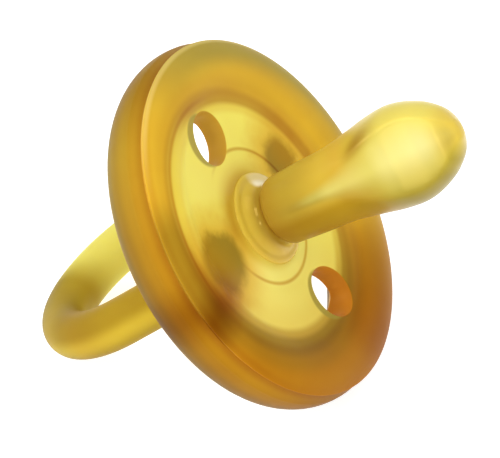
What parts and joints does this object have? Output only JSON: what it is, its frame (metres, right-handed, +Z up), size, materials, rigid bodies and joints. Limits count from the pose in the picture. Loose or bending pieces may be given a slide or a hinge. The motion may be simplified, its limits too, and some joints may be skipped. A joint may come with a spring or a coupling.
{
  "type": "pacifier",
  "caption": "Natural rubber pacifier: a round shield with a thick rolled rim and air vents, a hollow bulb-tipped teat in front and a ring handle behind.",
  "frame": {"origin": "centre of the bounding box's bottom: the floor that the pacifier lies on, under its middle", "axes": "+Z up; +X horizontal, the way the teat points; +Y along the line between the handle's two roots"},
  "size_m": [0.0494, 0.043, 0.0374],
  "materials": {
    "shield_rubber": "satin translucent natural rubber",
    "teat_rubber": "glossy translucent natural rubber",
    "handle_rubber": "frosted translucent natural rubber"
  },
  "bodies": {
    "shield": {"shield_front": "shield_rubber", "shield_back": "shield_rubber", "teat_flange": "teat_rubber", "air_valve_plug": "shield_rubber", "teat_neck": "teat_rubber", "handle_root_left": "handle_rubber", "handle_root_right": "handle_rubber"},
    "teat": {"teat": "teat_rubber"},
    "handle": {"handle_ring": "handle_rubber"}
  },
  "joints": [
    {"name": "handle_fold", "type": "hinge", "parent": "shield", "child": "handle", "pos_m": [-0.00231, 0, 0.0172], "axis": [0, 1, 0], "range_deg": [-55, 55], "stiffness_Nm_per_rad": 0.06, "deforming": ["handle_root_left", "handle_root_right"]},
    {"name": "teat_flex", "type": "hinge", "parent": "shield", "child": "teat", "pos_m": [0.0028, 0, 0.02003], "axis": [0, 1, 0], "range_deg": [-25, 25], "stiffness_Nm_per_rad": 0.06, "deforming": ["teat_neck"]}
  ]
}
